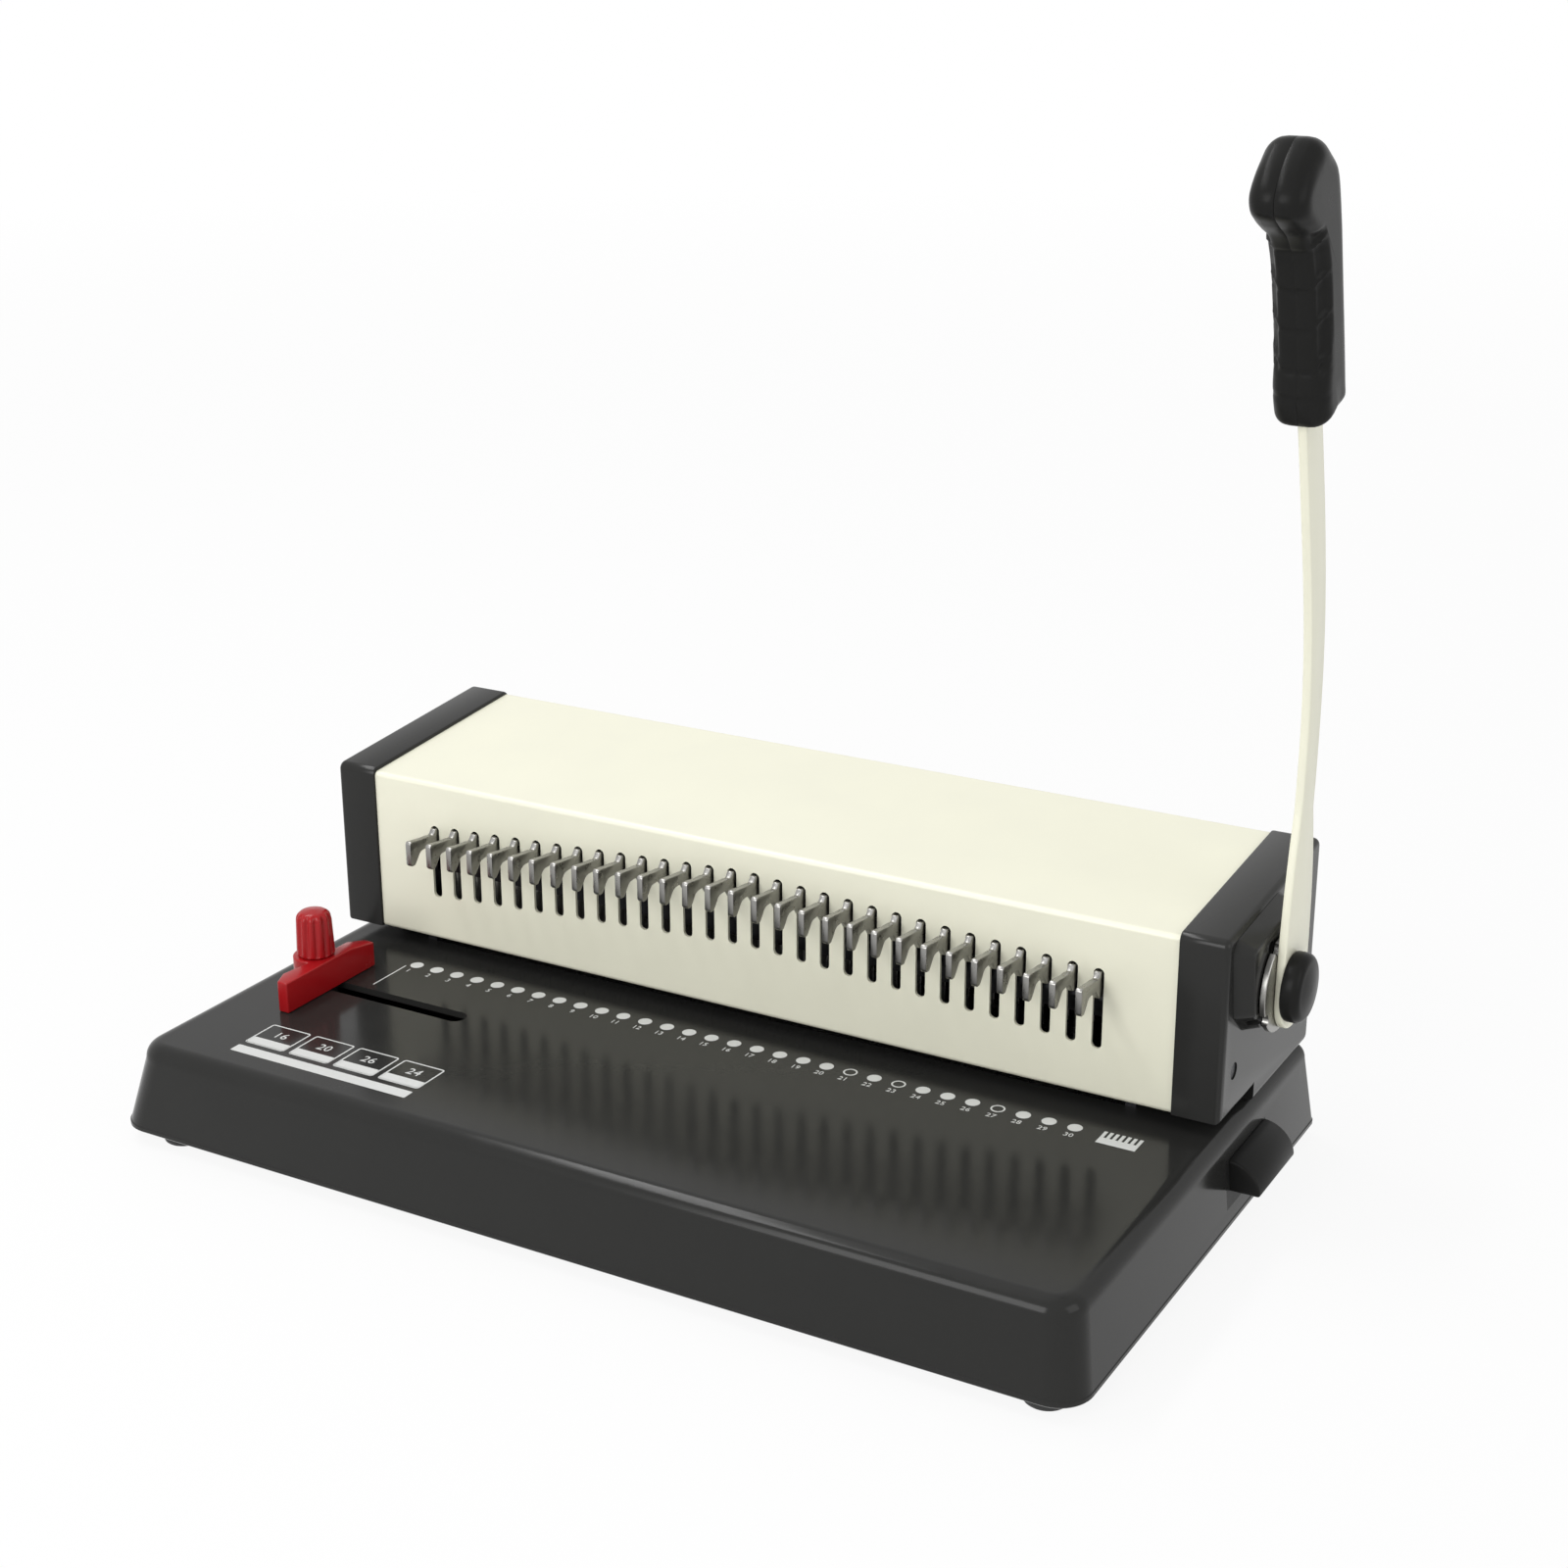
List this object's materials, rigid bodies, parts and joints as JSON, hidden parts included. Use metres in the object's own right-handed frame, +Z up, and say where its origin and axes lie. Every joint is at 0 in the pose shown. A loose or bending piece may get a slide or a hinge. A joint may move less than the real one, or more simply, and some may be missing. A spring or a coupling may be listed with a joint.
{
  "type": "lever hole punch",
  "caption": "Desk punch for loose-leaf sheets: a side lever drives a row of pins and a row of ring-opening hooks; chip tray and sliding edge stop.",
  "frame": {"origin": "on the table under the middle of the whole object's box", "axes": "+Z up, +X along the row of holes towards the lever, -Y towards the operator"},
  "size_m": [0.3964, 0.218, 0.3652],
  "materials": {
    "cream_paint": "satin powder coat",
    "black_paint": "semi-gloss paint",
    "black_plastic": "fine moulded",
    "steel": "satin nickel",
    "dark_steel": "black oxide",
    "bronze": "sintered",
    "rubber": "matte",
    "red_plastic": "gloss"
  },
  "bodies": {
    "frame": {"base_shell": "black_paint", "base_floor": "dark_steel", "rubber_feet": "rubber", "foot_screws": "dark_steel", "tray_runners": "dark_steel", "die_plate": "steel", "throat_spacers": "dark_steel", "paper_fence": "dark_steel", "guide_plate": "steel", "guide_posts": "steel", "side_plate_left": "dark_steel", "side_plate_right": "dark_steel", "shaft_bushes": "bronze", "hook_guides": "dark_steel", "cover_sheet": "cream_paint", "rear_sheet": "black_paint", "end_cap_left": "black_plastic", "end_cap_right": "black_plastic", "cap_screws": "dark_steel", "stop_strip": "steel"},
    "lever": {"main_shaft": "steel", "punch_cams": "dark_steel", "hook_pinions": "dark_steel", "set_screws": "steel", "lever_hub": "steel", "lever_arm": "cream_paint", "grip_left": "black_plastic", "grip_right": "black_plastic", "grip_rivets": "dark_steel", "pivot_cap": "black_plastic"},
    "punch": {"punch_bar": "dark_steel", "punch_pins": "steel", "pin_retainer": "steel", "retainer_screws": "dark_steel"},
    "hook_set": {"hook_carrier": "dark_steel", "hooks": "steel", "hook_racks": "steel", "rack_screws": "dark_steel"},
    "tray": {"chip_tray": "black_plastic", "tray_pull": "black_plastic", "pull_screws": "dark_steel"},
    "stop": {"edge_stop": "red_plastic", "stop_shoe": "dark_steel"},
    "knob": {"stop_knob": "red_plastic", "clamp_screw": "steel"}
  },
  "joints": [
    {"name": "lever_pivot", "type": "hinge", "parent": "frame", "child": "lever", "pos_m": [0, 0.042, 0.087], "axis": [1, 0, 0], "range_deg": [0, 70]},
    {"name": "punch_slide", "type": "slide", "parent": "frame", "child": "punch", "axis": [0, 0, -1], "range_m": [0, 0.00795]},
    {"name": "hook_slide", "type": "slide", "parent": "frame", "child": "hook_set", "axis": [0, 0, -1], "range_m": [0, 0.01833]},
    {"name": "tray_slide", "type": "slide", "parent": "frame", "child": "tray", "axis": [1, 0, 0], "range_m": [0, 0.25]},
    {"name": "stop_slide", "type": "slide", "parent": "frame", "child": "stop", "axis": [1, 0, 0], "range_m": [0, 0.06]},
    {"name": "knob_turn", "type": "hinge", "parent": "stop", "child": "knob", "pos_m": [-0.16475, -0.032, 0.06], "axis": [0, 0, 1], "continuous": true}
  ],
  "couplings": [
    {"joint": "punch_slide", "follows": "lever_pivot", "m_per_rad": 0.0065},
    {"joint": "hook_slide", "follows": "lever_pivot", "m_per_rad": 0.015}
  ]
}
